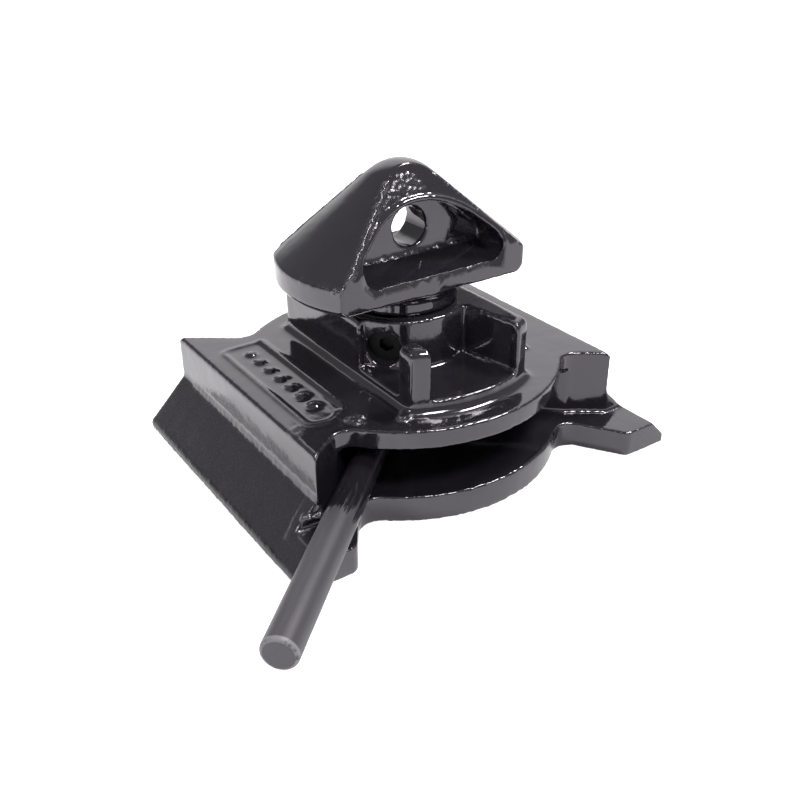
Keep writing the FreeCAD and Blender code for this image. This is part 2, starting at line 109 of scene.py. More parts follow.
# %% Node helpers
def add(tree, kind, inputs=None, **settings):
    """New node of that kind. Inputs are numbers, colours or the outputs of other nodes."""
    node = tree.nodes.new(kind)
    for name, value in settings.items():
        setattr(node, name, value)
    for key, value in (inputs or {}).items():
        socket = node.inputs[key]
        if isinstance(value, bpy.types.NodeSocket):
            tree.links.new(value, socket)
        else:
            socket.default_value = value
    return node


def math_of(tree, operation, *values, clamp=False):
    node = add(tree, "ShaderNodeMath", dict(enumerate(values)), operation=operation, use_clamp=clamp)
    return node.outputs[0]


def vector_of(tree, operation, *values, out="Vector"):
    node = add(tree, "ShaderNodeVectorMath", dict(enumerate(values)), operation=operation)
    return node.outputs[out]


def spread(tree, value, low, high, to_low=0.0, to_high=1.0, smooth=True):
    """The value's range low..high stretched to to_low..to_high."""
    node = add(tree, "ShaderNodeMapRange", {"Value": value, "From Min": low, "From Max": high,
                                            "To Min": to_low, "To Max": to_high})
    node.interpolation_type = "SMOOTHSTEP" if smooth else "LINEAR"
    return node.outputs["Result"]


def noise_of(tree, vector, scale, detail=2.0, roughness=0.5, kind="Fac"):
    return add(tree, "ShaderNodeTexNoise", {"Vector": vector, "Scale": scale, "Detail": detail,
                                            "Roughness": roughness}).outputs[kind]


def in_mm(tree, size):
    """Noise scale for lumps of a size in millimetres."""
    return math_of(tree, "DIVIDE", 1 / MM, size)


def object_place(tree):
    return add(tree, "ShaderNodeTexCoord").outputs["Object"]


def axis_of(tree, vector, axis):
    return add(tree, "ShaderNodeSeparateXYZ", {0: vector}).outputs[axis]


def scaled(tree, vector, scale):
    node = add(tree, "ShaderNodeVectorMath", {0: vector, "Scale": scale}, operation="SCALE")
    return node.outputs[0]


def blend(tree, factor, first, second):
    """Colour between first, at factor 0, and second, at factor 1."""
    node = add(tree, "ShaderNodeMix", {"Factor": factor, "A": first, "B": second}, data_type="RGBA")
    return node.outputs["Result"]


def new_material(name):
    """A material and its node tree, empty."""
    material = bpy.data.materials.new(name)
    material.use_nodes = True
    material.node_tree.nodes.clear()
    return material, material.node_tree


def show(tree, shader):
    """Makes that node's shader the surface of the material."""
    add(tree, "ShaderNodeOutputMaterial", {"Surface": shader.outputs[0]})


def new_tree(name, kind, inputs, outputs):
    """Node group with named sockets: inputs are name to (socket type, default value)."""
    tree = bpy.data.node_groups.new(name, kind)
    for label, (socket, value) in inputs.items():
        item = tree.interface.new_socket(label, in_out="INPUT", socket_type=socket)
        if value is not None:
            item.default_value = value
    for label, socket in outputs.items():
        tree.interface.new_socket(label, in_out="OUTPUT", socket_type=socket)
    return tree, tree.nodes.new("NodeGroupInput").outputs, tree.nodes.new("NodeGroupOutput")


FLOAT, VECTOR, WHOLE = "NodeSocketFloat", "NodeSocketVector", "NodeSocketInt"
GEOMETRY, MATERIAL, OBJECT = "NodeSocketGeometry", "NodeSocketMaterial", "NodeSocketObject"
print("node helpers ready")

# %% [markdown]
# ## Floor, world and lamps
# Gloss black shows little but what it mirrors. The lock stands on a white table, so its upright
# faces mirror the table, whose near right side is in shade. Above it hangs a dim studio ceiling with
# one wide soft window, which lights the flat tops, and leaves the sloping faces on the other side
# nearly black. The ceiling is only there for mirrored rays, like a studio card out of the frame.

# %% World and floor
FLOOR_SIZE = 6.0
FLOOR_WAY = (-0.8, 0.6, 0.0)        # from the dim side of the table to the bright side
FLOOR_NEAR, FLOOR_FAR = -0.06, 0.10
FLOOR_DIM, FLOOR_BRIGHT = 0.02, 0.75
FLOOR_TO_CAMERA = 0.82
WHITE, PAPER = (1, 1, 1, 1), (0.8, 0.8, 0.8, 1)


def light_path(tree):
    """1 for rays that come straight from the camera, a mirror or a clear body, else 0."""
    path = add(tree, "ShaderNodeLightPath")
    seen = math_of(tree, "MAXIMUM", path.outputs["Is Camera Ray"], path.outputs["Is Glossy Ray"])
    return math_of(tree, "MAXIMUM", seen, path.outputs["Is Transmission Ray"])


def make_world(fill):
    world = bpy.data.worlds.new("studio")
    world.use_nodes = True
    tree = world.node_tree
    tree.nodes.clear()
    seen = add(tree, "ShaderNodeBackground", {"Color": WHITE, "Strength": 1.0})
    dim = add(tree, "ShaderNodeBackground", {"Color": WHITE, "Strength": fill})
    mix = add(tree, "ShaderNodeMixShader", {0: light_path(tree), 1: dim.outputs[0], 2: seen.outputs[0]})
    add(tree, "ShaderNodeOutputWorld", {"Surface": mix.outputs[0]})
    bpy.context.scene.world = world


def plain_sheet(name, size, z):
    mesh = bpy.data.meshes.new(name)
    h = size / 2
    mesh.from_pydata([(-h, -h, z), (h, -h, z), (h, h, z), (-h, h, z)], [], [(0, 1, 2, 3)])
    sheet = bpy.data.objects.new(name, mesh)
    bpy.context.scene.collection.objects.link(sheet)
    return sheet


def floor_paper():
    """White to the camera; in a mirror its near right side is dimmer than its far left side."""
    material, tree = new_material("white_paper")
    paper = add(tree, "ShaderNodeBsdfDiffuse", {"Color": PAPER})
    along = vector_of(tree, "DOT_PRODUCT", object_place(tree), FLOOR_WAY, out="Value")
    mirrored = spread(tree, along, FLOOR_NEAR, FLOOR_FAR, FLOOR_DIM, FLOOR_BRIGHT)
    camera_ray = add(tree, "ShaderNodeLightPath").outputs["Is Camera Ray"]
    strength = math_of(tree, "MAXIMUM", mirrored, math_of(tree, "MULTIPLY", camera_ray, FLOOR_TO_CAMERA))
    glow = add(tree, "ShaderNodeEmission", {"Color": WHITE, "Strength": strength})
    none = add(tree, "ShaderNodeEmission", {"Strength": 0.0})
    seen = add(tree, "ShaderNodeMixShader", {0: light_path(tree), 1: none.outputs[0], 2: glow.outputs[0]})
    both = add(tree, "ShaderNodeAddShader", {0: paper.outputs[0], 1: seen.outputs[0]})
    show(tree, both)
    return material


make_world(fill=0.35)
floor = plain_sheet("floor", FLOOR_SIZE, cad_low.z)
floor.data.materials.append(floor_paper())
print("floor at z, mm:", round(cad_low.z / MM, 2))

# %% Dim ceiling with a soft window
CEILING_RADIUS, CEILING_FOOT = 2.2, 0.01
CEILING_DARK, CEILING_WINDOW = 0.28, 1.3
WINDOW_WAY = (0.50, 0.75, 0.44)     # from the lock towards the middle of the window
WINDOW_INNER, WINDOW_OUTER = 0.94, 0.76
HORIZON_LOW, HORIZON_HIGH, HORIZON_GLOW = 0.02, 0.14, 0.45


def ceiling_light():
    """Glow of the ceiling: dark, with one wide soft window, and pale near the horizon."""
    material, tree = new_material("studio_ceiling")
    way = vector_of(tree, "NORMALIZE", object_place(tree))
    facing = vector_of(tree, "DOT_PRODUCT", way, Vector(WINDOW_WAY).normalized(), out="Value")
    window = spread(tree, facing, WINDOW_OUTER, WINDOW_INNER)
    horizon = spread(tree, axis_of(tree, way, "Z"), HORIZON_LOW, HORIZON_HIGH, HORIZON_GLOW, 0.0)
    glow = spread(tree, window, 0, 1, CEILING_DARK, CEILING_WINDOW, smooth=False)
    glow = math_of(tree, "MAXIMUM", glow, horizon)
    show(tree, add(tree, "ShaderNodeEmission", {"Color": WHITE, "Strength": glow}))
    return material


def hang_ceiling():
    bm = bmesh.new()
    bmesh.ops.create_uvsphere(bm, u_segments=48, v_segments=24, radius=CEILING_RADIUS)
    bmesh.ops.delete(bm, geom=[v for v in bm.verts if v.co.z < CEILING_FOOT], context="VERTS")
    bmesh.ops.reverse_faces(bm, faces=bm.faces)
    mesh = bpy.data.meshes.new("ceiling")
    bm.to_mesh(mesh)
    bm.free()
    mesh.materials.append(ceiling_light())
    ceiling = bpy.data.objects.new("ceiling", mesh)
    bpy.context.scene.collection.objects.link(ceiling)
    for ray in ("camera", "diffuse", "transmission", "volume_scatter", "shadow"):
        setattr(ceiling, "visible_" + ray, False)


hang_ceiling()
print("ceiling: dark", CEILING_DARK, "window", CEILING_WINDOW)

# %% Lamps
# name: way from the lock, distance and width in metres, watts
LAMPS = {"key": ((0.49, -0.10, 0.86), 1.3, 0.26, 12),
         "side": ((-0.72, -0.08, 0.70), 1.5, 0.3, 4),
         "front": ((0.03, -0.52, 0.85), 1.3, 0.28, 8)}


def soft_lamp(name, way, distance, size, watts):
    """Square soft lamp that faces the lock from a given way."""
    lamp = bpy.data.objects.new(name, bpy.data.lights.new(name, "AREA"))
    lamp.data.size = size
    lamp.data.energy = watts
    lamp.location = Vector(way).normalized() * distance
    lamp.rotation_mode = "QUATERNION"
    lamp.rotation_quaternion = lamp.location.to_track_quat("Z", "Y")
    bpy.context.scene.collection.objects.link(lamp)


for name, values in LAMPS.items():
    soft_lamp(name, *values)
print("lamps:", *LAMPS)

# %% [markdown]
# ## Shared paint effects
# The housing and the spindle wear the same paint over the same foundry skin. What they share is a
# node group: it puts out masks, heights and colours, and each material gives it its own values.
# The glossy shader itself stays in the material.


# %% Cast skin group
PIT_SPACING = 2.5                   # in grain sizes
PIT_RADIUS = 0.16                   # in pit spacings
PIT_CHANCE = (0.86, 0.90)           # cells whose random value is above this have a pit
MATT_RANGE = (0.35, 1.3)            # grain that is quite shiny, and grain that is quite matt


def cast_skin_group():
    """Foundry skin: fine sand grain, broad lumps, and small pits, as one height and two masks."""
    tree, given, out = new_tree("cast_skin", "ShaderNodeTree", {
        "Vector": (VECTOR, None), "Grain Size": (FLOAT, 1.0), "Grain": (FLOAT, 0.3),
        "Lump Size": (FLOAT, 5.0), "Lumps": (FLOAT, 0.5), "Pits": (FLOAT, 0.3),
        "Rough Mask": (FLOAT, 0.0)},
        {"Height": FLOAT, "Matt": FLOAT, "Tint": FLOAT})
    place, grain_scale = given["Vector"], in_mm(tree, given["Grain Size"])
    grain = noise_of(tree, place, grain_scale, 3.0, 0.6)
    broad = noise_of(tree, place, in_mm(tree, given["Lump Size"]), 2.0, 0.5)
    cells = add(tree, "ShaderNodeTexVoronoi", {
        "Vector": place, "Scale": math_of(tree, "MULTIPLY", grain_scale, 1 / PIT_SPACING)})
    pit = spread(tree, cells.outputs["Distance"], 0.0, PIT_RADIUS, 1.0, 0.0)
    chance = add(tree, "ShaderNodeSeparateColor", {0: cells.outputs["Color"]}).outputs[0]
    pit = math_of(tree, "MULTIPLY", pit, spread(tree, chance, *PIT_CHANCE))
    rough = math_of(tree, "ADD", given["Grain"], given["Rough Mask"])
    height = math_of(tree, "MULTIPLY", grain, rough)
    height = math_of(tree, "ADD", height, math_of(tree, "MULTIPLY", broad, given["Lumps"]))
    height = math_of(tree, "SUBTRACT", height, math_of(tree, "MULTIPLY", pit, given["Pits"]))
    matt = spread(tree, math_of(tree, "ADD", grain, given["Rough Mask"]), *MATT_RANGE)
    for label, value in (("Height", height), ("Matt", matt), ("Tint", broad)):
        tree.links.new(value, out.inputs[label])
    return tree


CAST_SKIN = cast_skin_group()
print("group:", CAST_SKIN.name)

# %% [markdown]
# ## Gloss black paint
# Thick dipped paint is a dark colour under a hard shiny film. A high index of refraction on the one
# Principled shader gives that film, and leaves its bump to bend the reflections as the real skin does.
# The dovetail's flanks got less of it, so their sand shows, and the sill below them is nearly dull.

# %% Housing and spindle paint
housing_low, housing_high = (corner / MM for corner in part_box("housing"))
BLOCK_SIDE = 76.0                   # sideways to the foot of a flank
SILL_SIDE = round(housing_high.x, 1)
FLANK_SAND, SHINE, SILL_SHINE = 0.45, 0.5, 0.12
BLACK, SOFT_BLACK = (0.010, 0.009, 0.012, 1), (0.016, 0.014, 0.019, 1)
FILM_TINT = (0.98, 0.93, 1.0, 1)
FILM_INDEX, BAR_FILM_INDEX = 1.86, 1.7


def flank_sand(tree, place):
    """Dovetail flanks: mask of the sand skin under thin paint, and how shiny the paint is."""
    sideways = math_of(tree, "ABSOLUTE", axis_of(tree, place, "X"))
    sand = spread(tree, sideways, (BLOCK_SIDE + 0.4) * MM, (BLOCK_SIDE + 1.2) * MM, 0.0, FLANK_SAND)
    return sand, spread(tree, sideways, (SILL_SIDE - 1.4) * MM, (SILL_SIDE - 0.4) * MM, SHINE, SILL_SHINE)


def painted(name, matt, skin, depth=0.12, sandy=None):
    """Gloss black paint over cast skin. matt is the (low, high) roughness, depth the relief in mm."""
    material, tree = new_material(name)
    place = object_place(tree)
    edge = add(tree, "ShaderNodeAttribute", attribute_name="rough").outputs["Fac"]
    shine = SHINE
    if sandy:
        sand, shine = sandy(tree, place)
        edge = math_of(tree, "MAXIMUM", edge, sand)
    group = add(tree, "ShaderNodeGroup", node_tree=CAST_SKIN)
    tree.links.new(place, group.inputs["Vector"])
    tree.links.new(edge, group.inputs["Rough Mask"])
    for label, value in skin.items():
        group.inputs[label].default_value = value
    tone = blend(tree, group.outputs["Tint"], BLACK, SOFT_BLACK)
    roughness = spread(tree, group.outputs["Matt"], 0, 1, *matt, smooth=False)
    bump = add(tree, "ShaderNodeBump", {"Height": group.outputs["Height"], "Distance": depth * MM,
                                        "Strength": 1.0})
    show(tree, add(tree, "ShaderNodeBsdfPrincipled", {
        "Base Color": tone, "Roughness": roughness, "Normal": bump.outputs[0],
        "IOR": FILM_INDEX, "Specular Tint": FILM_TINT, "Specular IOR Level": shine}))
    return material


HOUSING_PAINT = painted("dipped_housing", (0.08, 0.30), {
    "Grain Size": 1.1, "Grain": 0.12, "Lump Size": 7.0, "Lumps": 0.5, "Pits": 0.3}, sandy=flank_sand)
SPINDLE_PAINT = painted("dipped_spindle", (0.07, 0.26), {
    "Grain Size": 1.0, "Grain": 0.08, "Lump Size": 8.0, "Lumps": 0.4, "Pits": 0.25})
print("paints:", HOUSING_PAINT.name, SPINDLE_PAINT.name)

# %% Handle paint
handle_low, handle_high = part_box("handle")
BAR_MIDDLE = (handle_low.z + handle_high.z) / 2
BAR_RADIUS = (handle_high.z - handle_low.z) / 2
BAR_TURN = math.radians(223.5)      # the way that the bar points at rest
BAR_WAY = Vector((math.cos(BAR_TURN), math.sin(BAR_TURN), 0))
BAR_ACROSS = Vector((-BAR_WAY.y, BAR_WAY.x, 0))
BAR_TIP = (-handle_low.x - BAR_RADIUS * abs(BAR_WAY.y)) / abs(BAR_WAY.x)
DIP_END, DIP_FADE, DIP_RAGGED = 115 * MM, 4 * MM, 26 * MM
STREAK_SIZE, STREAK_PULL = 2.2 * MM, 0.12       # width of a streak, and width over length
BAR_GRAIN = 0.7 * MM
DIP_ROUGHNESS, SATIN_ROUGHNESS = 0.1, 0.46
DIP_SHINE, SATIN_SHINE = 0.2, 0.45
SATIN_DARK, SATIN_LIGHT = (0.03, 0.028, 0.033, 1), (0.05, 0.047, 0.053, 1)
# Light grey of the painted highlight round the rim of the bar's tip
RIM_HIGHLIGHT = (0.2, 0.195, 0.2, 1)


def bar_paint():
    """Gloss dip near the lock, satin coat further out, and a painted highlight: a light grey rim at the tip.
    """
    material, tree = new_material("sprayed_handle")
    place = object_place(tree)
    along = vector_of(tree, "DOT_PRODUCT", place, BAR_WAY, out="Value")
    across = vector_of(tree, "DOT_PRODUCT", place, BAR_ACROSS, out="Value")
    upward = math_of(tree, "SUBTRACT", axis_of(tree, place, "Z"), BAR_MIDDLE)
    drawn = add(tree, "ShaderNodeCombineXYZ", {"X": math_of(tree, "MULTIPLY", along, STREAK_PULL),
                                               "Y": across, "Z": upward}).outputs[0]
    streak = noise_of(tree, drawn, 1 / STREAK_SIZE, 3.0, 0.6)
    ragged = math_of(tree, "ADD", along, math_of(tree, "MULTIPLY", streak, DIP_RAGGED))
    satin = spread(tree, ragged, DIP_END, DIP_END + DIP_FADE)
    off_axis = add(tree, "ShaderNodeCombineXYZ", {"X": across, "Y": upward}).outputs[0]
    off_axis = vector_of(tree, "LENGTH", off_axis, out="Value")
    # Painted highlight: a thin light grey ring round the tip's edge, broken by the streaks
    rim = spread(tree, off_axis, BAR_RADIUS - 1.5 * MM, BAR_RADIUS - 0.9 * MM)
    rim = math_of(tree, "MULTIPLY", rim, spread(tree, along, BAR_TIP - 1.3 * MM, BAR_TIP - 0.7 * MM))
    rim = math_of(tree, "MULTIPLY", rim, spread(tree, streak, 0.3, 0.5))
    tone = blend(tree, satin, BLACK, blend(tree, streak, SATIN_DARK, SATIN_LIGHT))
    tone = blend(tree, rim, tone, RIM_HIGHLIGHT)
    roughness = spread(tree, satin, 0, 1, DIP_ROUGHNESS, SATIN_ROUGHNESS, smooth=False)
    grain = noise_of(tree, place, 1 / BAR_GRAIN, 2.0, 0.6)
    relief = math_of(tree, "ADD", math_of(tree, "MULTIPLY", grain, 0.25),
                     math_of(tree, "MULTIPLY", streak, 0.4))
    bump = add(tree, "ShaderNodeBump", {"Height": relief, "Distance": 0.08 * MM, "Strength": 1.0})
    show(tree, add(tree, "ShaderNodeBsdfPrincipled", {
        "Base Color": tone, "Roughness": roughness, "Normal": bump.outputs[0],
        "IOR": BAR_FILM_INDEX, "Specular Tint": FILM_TINT,
        "Specular IOR Level": spread(tree, satin, 0, 1, DIP_SHINE, SATIN_SHINE, smooth=False)}))
    return material


HANDLE_PAINT = bar_paint()
print("paint:", HANDLE_PAINT.name, "up to", round(BAR_TIP / MM, 1), "mm from the axis")

# %% [markdown]
# ## Steel of the small parts
# The screws, the washer, the nut and its pin are turned steel. Turning leaves fine rings, which a
# stretched noise round the part's own axis gives, and handling leaves them a little stained.


# %% Steel materials
STAIN_SIZE, RING_DEPTH = 9 * MM, 0.02 * MM


def turned_steel(name, colours, matt, ring_size):
    material, tree = new_material(name)
    place = object_place(tree)
    stain = noise_of(tree, place, 1 / STAIN_SIZE, 3.0, 0.6)
    xyz = add(tree, "ShaderNodeSeparateXYZ", {0: place})
    plan = add(tree, "ShaderNodeCombineXYZ", {"X": xyz.outputs["X"], "Y": xyz.outputs["Y"]}).outputs[0]
    radius = vector_of(tree, "LENGTH", plan, out="Value")
    rings = add(tree, "ShaderNodeCombineXYZ", {"X": radius, "Y": xyz.outputs["Z"]}).outputs[0]
    lines = noise_of(tree, rings, 1 / (ring_size * MM), 1.0, 0.5)
    roughness = spread(tree, stain, 0.3, 0.7, *matt)
    bump = add(tree, "ShaderNodeBump", {"Height": lines, "Distance": RING_DEPTH, "Strength": 0.6})
    show(tree, add(tree, "ShaderNodeBsdfPrincipled", {
        "Base Color": blend(tree, stain, *colours), "Metallic": 1.0, "Roughness": roughness,
        "Normal": bump.outputs[0]}))
    return material


# Painted shade: the two screws sit down in holes, so their steel is near black to stand for the holes' shade
HOLE_SHADE_STEEL = turned_steel("screw_steel_hole_shade", ((0.02, 0.02, 0.021, 1), (0.035, 0.034, 0.034, 1)),
                           (0.4, 0.6), 0.25)
PLATED_STEEL = turned_steel("dull_plated_steel", ((0.36, 0.36, 0.37, 1), (0.47, 0.47, 0.46, 1)),
                            (0.28, 0.45), 0.3)


def give_material(node, material):
    node_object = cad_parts[node]
    for slot in node_object.material_slots:
        slot.material = material
    if not node_object.material_slots:
        node_object.data.materials.append(material)


# The screws get the near-black steel that paints the shade of their holes
for node in ("handle_set_screw", "stop_screw"):
    give_material(node, HOLE_SHADE_STEEL)
for node in ("thrust_washer", "retaining_nut", "nut_pin"):
    give_material(node, PLATED_STEEL)
print("steel pieces: 5")

# %% [markdown]
# ## Cast relief as a geometry tree
# A casting is never quite flat and its edges are never quite sharp. The tree below takes a fine mesh
# and does what the foundry does: it blurs the edges, adds long shallow waves, and roughens the places
# where metal ran or a parting line was dressed. Every piece of cast or forged steel uses it with its
# own values. Points stay inside the box of the exact solid, so the piece keeps its size.


# %% Trees that work on a piece
WIDE_BLUR = 12                      # rounds of blur that a point's height over its surroundings is from
EDGE_HILL = (0.08 * MM, 0.5 * MM)   # height of a point that is no edge, and of one that is all edge
ROUGH_BLUR = 0.35                   # share of the blur that rough places get
MARK_TOUCH = 0.1                    # a point this near to a mark, in mm, is quite rough


def finish_tree(tree, geometry, material, out):
    """Every tree ends the same way: instances made real, then one material on all faces."""
    real = add(tree, "GeometryNodeRealizeInstances", {"Geometry": geometry})
    dressed = add(tree, "GeometryNodeSetMaterial", {"Geometry": real.outputs[0], "Material": material})
    tree.links.new(dressed.outputs[0], out.inputs["Geometry"])
    return tree


def named_of(tree, name):
    return add(tree, "GeometryNodeInputNamedAttribute", {"Name": name}, data_type="FLOAT").outputs[0]


def stored(tree, geometry, name, value):
    return add(tree, "GeometryNodeStoreNamedAttribute", {"Geometry": geometry, "Name": name, "Value": value},
               data_type="FLOAT", domain="POINT").outputs[0]


def relief_tree():
    tree, given, out = new_tree("cast_relief", "GeometryNodeTree", {
        "Geometry": (GEOMETRY, None), "Material": (MATERIAL, None),
        "Wave Size": (FLOAT, 14.0), "Wave Depth": (FLOAT, 0.06),
        "Edge Size": (FLOAT, 2.0), "Edge Depth": (FLOAT, 0.2), "Blur": (WHOLE, 4),
        "Box Low": (VECTOR, None), "Box High": (VECTOR, None)}, {"Geometry": GEOMETRY})
    place = add(tree, "GeometryNodeInputPosition").outputs[0]
    outward = add(tree, "GeometryNodeInputNormal").outputs[0]
    wide = add(tree, "GeometryNodeBlurAttribute", {"Value": place, "Iterations": WIDE_BLUR},
               data_type="FLOAT_VECTOR").outputs[0]
    hill = vector_of(tree, "DOT_PRODUCT", vector_of(tree, "SUBTRACT", place, wide), outward, out="Value")
    keep = stored(tree, given["Geometry"], "edge", spread(tree, hill, *EDGE_HILL))
    soft = add(tree, "GeometryNodeBlurAttribute", {"Value": place, "Iterations": given["Blur"]},
               data_type="FLOAT_VECTOR").outputs[0]
    rough = named_of(tree, "rough")
    shift = scaled(tree, vector_of(tree, "SUBTRACT", soft, place),
                   spread(tree, rough, 0.0, 1.0, 1.0, ROUGH_BLUR))
    rounded = add(tree, "GeometryNodeSetPosition", {"Geometry": keep, "Offset": shift})
    wave = noise_of(tree, place, in_mm(tree, given["Wave Size"]), 2.0, 0.5)
    wave = math_of(tree, "MULTIPLY", math_of(tree, "SUBTRACT", wave, 0.5), given["Wave Depth"])
    crumb = noise_of(tree, place, in_mm(tree, given["Edge Size"]), 2.0, 0.6)
    crumb = math_of(tree, "MULTIPLY", math_of(tree, "SUBTRACT", crumb, 0.5), given["Edge Depth"])
    both = math_of(tree, "MAXIMUM", named_of(tree, "edge"), rough)
    height = math_of(tree, "ADD", wave, math_of(tree, "MULTIPLY", crumb, both))
    offset = scaled(tree, outward, math_of(tree, "MULTIPLY", height, MM))
    raised = add(tree, "GeometryNodeSetPosition", {"Geometry": rounded.outputs[0], "Offset": offset})
    inside = vector_of(tree, "MAXIMUM", vector_of(tree, "MINIMUM", place, given["Box High"]),
                       given["Box Low"])
    kept = add(tree, "GeometryNodeSetPosition", {"Geometry": raised.outputs[0], "Position": inside})
    return finish_tree(tree, kept.outputs[0], given["Material"], out)


def near_tree():
    """Marks the points that lie close to another object, as the attribute rough, from 0 to 1."""
    tree, given, out = new_tree("rough_near", "GeometryNodeTree", {
        "Geometry": (GEOMETRY, None), "Material": (MATERIAL, None), "Marks": (OBJECT, None),
        "Reach": (FLOAT, 1.2)}, {"Geometry": GEOMETRY})
    marks = add(tree, "GeometryNodeObjectInfo", {"Object": given["Marks"]}).outputs["Geometry"]
    far = add(tree, "GeometryNodeProximity", {"Geometry": marks}).outputs["Distance"]
    far = math_of(tree, "DIVIDE", far, MM)
    near = spread(tree, far, MARK_TOUCH, given["Reach"], 1.0, 0.0)
    return finish_tree(tree, stored(tree, given["Geometry"], "rough", near), given["Material"], out)


RELIEF = relief_tree()
ROUGH_NEAR = near_tree()


def geometry_modifier(piece, tree, values):
    """Hangs a geometry tree on a piece and sets its inputs by their sockets' identifiers."""
    modifier = piece.modifiers.new(tree.name, "NODES")
    modifier.node_group = tree
    keys = {item.name: item.identifier for item in tree.interface.items_tree
            if item.item_type == "SOCKET" and item.in_out == "INPUT"}
    for label, value in values.items():
        modifier[keys[label]] = value
    return modifier


def linked(name, data):
    piece = bpy.data.objects.new(name, data)
    bpy.context.scene.collection.objects.link(piece)
    return piece


def dropped(piece):
    """Deletes an object and the mesh or curve that only it used."""
    data = piece.data
    bpy.data.objects.remove(piece)
    if data.users == 0:
        (bpy.data.meshes if isinstance(data, bpy.types.Mesh) else bpy.data.curves).remove(data)


def baked(piece, name):
    """The piece with its modifiers worked in, as a new plain mesh object; the old one goes."""
    bpy.context.view_layer.update()
    graph = bpy.context.evaluated_depsgraph_get()
    mesh = bpy.data.meshes.new_from_object(piece.evaluated_get(graph), depsgraph=graph)
    dropped(piece)
    mesh.name = name
    return linked(name, mesh)


print("trees:", RELIEF.name, ROUGH_NEAR.name)

# %% [markdown]
# ## Beads, flash and crumbs
# What makes a casting look real is what was not meant to be there: a thin ridge where the two dies
# met, a bead left round a pocket, grains of sand burnt onto a corner, a run of paint. Each is a small
# closed shape. A bead is a round bar swept along a path and roughened by noise. Crumbs are little
# balls scattered over a patch. They are joined to the casting before its mesh is made even, so they
# grow out of it, as they do in steel.


# %% Bead and crumb trees
DENSE = 1e7                         # points per square metre before the close ones are dropped
SMALL_CRUMB, LARGE_CRUMB = (0.5, 0.5, 0.5), (1.4, 1.4, 1.1)


def bead_tree():
    tree, given, out = new_tree("bead", "GeometryNodeTree", {
        "Geometry": (GEOMETRY, None), "Material": (MATERIAL, None), "Radius": (FLOAT, 0.8),
        "Corner": (FLOAT, 0.0), "Jag Size": (FLOAT, 2.0), "Jag": (FLOAT, 0.0), "Step": (FLOAT, 0.6)},
        {"Geometry": GEOMETRY})
    mm = [math_of(tree, "MULTIPLY", given[label], MM) for label in ("Radius", "Corner", "Step")]
    bent = add(tree, "GeometryNodeFilletCurve", {"Curve": given["Geometry"], "Count": 8, "Radius": mm[1],
                                                 "Limit Radius": True}, mode="POLY")
    even = add(tree, "GeometryNodeResampleCurve", {"Curve": bent.outputs[0], "Length": mm[2]}, mode="LENGTH")
    ring = add(tree, "GeometryNodeCurvePrimitiveCircle", {"Resolution": 10, "Radius": mm[0]})
    bar = add(tree, "GeometryNodeCurveToMesh", {"Curve": even.outputs[0], "Profile Curve": ring.outputs[0],
                                                "Fill Caps": True})
    place = add(tree, "GeometryNodeInputPosition").outputs[0]
    outward = add(tree, "GeometryNodeInputNormal").outputs[0]
    jag = noise_of(tree, place, in_mm(tree, given["Jag Size"]), 2.0, 0.6)
    jag = math_of(tree, "MULTIPLY", math_of(tree, "SUBTRACT", jag, 0.5), given["Jag"])
    offset = scaled(tree, outward, math_of(tree, "MULTIPLY", jag, MM))
    rough = add(tree, "GeometryNodeSetPosition", {"Geometry": bar.outputs[0], "Offset": offset})
    return finish_tree(tree, rough.outputs[0], given["Material"], out)


def crumb_tree():
    tree, given, out = new_tree("crumbs", "GeometryNodeTree", {
        "Geometry": (GEOMETRY, None), "Material": (MATERIAL, None), "Size": (FLOAT, 0.7),
        "Apart": (FLOAT, 2.0), "Seed": (WHOLE, 1)}, {"Geometry": GEOMETRY})
    apart = math_of(tree, "MULTIPLY", given["Apart"], MM)
    points = add(tree, "GeometryNodeDistributePointsOnFaces", {
        "Mesh": given["Geometry"], "Distance Min": apart, "Density Max": DENSE, "Seed": given["Seed"]},
        distribute_method="POISSON")
    ball = add(tree, "GeometryNodeMeshIcoSphere", {"Radius": math_of(tree, "MULTIPLY", given["Size"], MM),
                                                   "Subdivisions": 2})
    scale = add(tree, "FunctionNodeRandomValue", {"Min": SMALL_CRUMB, "Max": LARGE_CRUMB,
                                                  "Seed": given["Seed"]}, data_type="FLOAT_VECTOR")
    balls = add(tree, "GeometryNodeInstanceOnPoints", {
        "Points": points.outputs["Points"], "Instance": ball.outputs["Mesh"], "Scale": scale.outputs[0]})
    return finish_tree(tree, balls.outputs[0], given["Material"], out)


BEAD = bead_tree()
CRUMBS = crumb_tree()


def path_of(name, points, closed=False):
    """Open or closed line through points given in mm."""
    curve = bpy.data.curves.new(name, "CURVE")
    curve.dimensions = "3D"
    line = curve.splines.new("POLY")
    line.points.add(len(points) - 1)
    for point, at in zip(line.points, points):
        point.co = (*(value * MM for value in at), 1)
    line.use_cyclic_u = closed
    return linked(name, curve)


def bead(name, points, radius, closed=False, corner=0.0, jag=0.0, jag_size=2.0):
    path = path_of(name, points, closed)
    geometry_modifier(path, BEAD, {"Radius": radius, "Corner": corner, "Jag": jag, "Jag Size": jag_size})
    return baked(path, name)


def crumbs(name, corners, size, apart, seed):
    """Balls scattered over a flat patch with the given corners, in mm."""
    mesh = bpy.data.meshes.new(name)
    mesh.from_pydata([[value * MM for value in at] for at in corners], [], [range(len(corners))])
    patch = linked(name, mesh)
    geometry_modifier(patch, CRUMBS, {"Size": size, "Apart": apart, "Seed": seed})
    return baked(patch, name)


def turned_half(points):
    """The same points half a turn round the spindle's axis: the head's other side."""
    return [(-x, -y, z) for x, y, z in points]


print("trees:", BEAD.name, CRUMBS.name)

# %% Copy of a CAD node as one closed skin
MERGE = 0.002 * MM
MOST_TRIANGLES = 190000


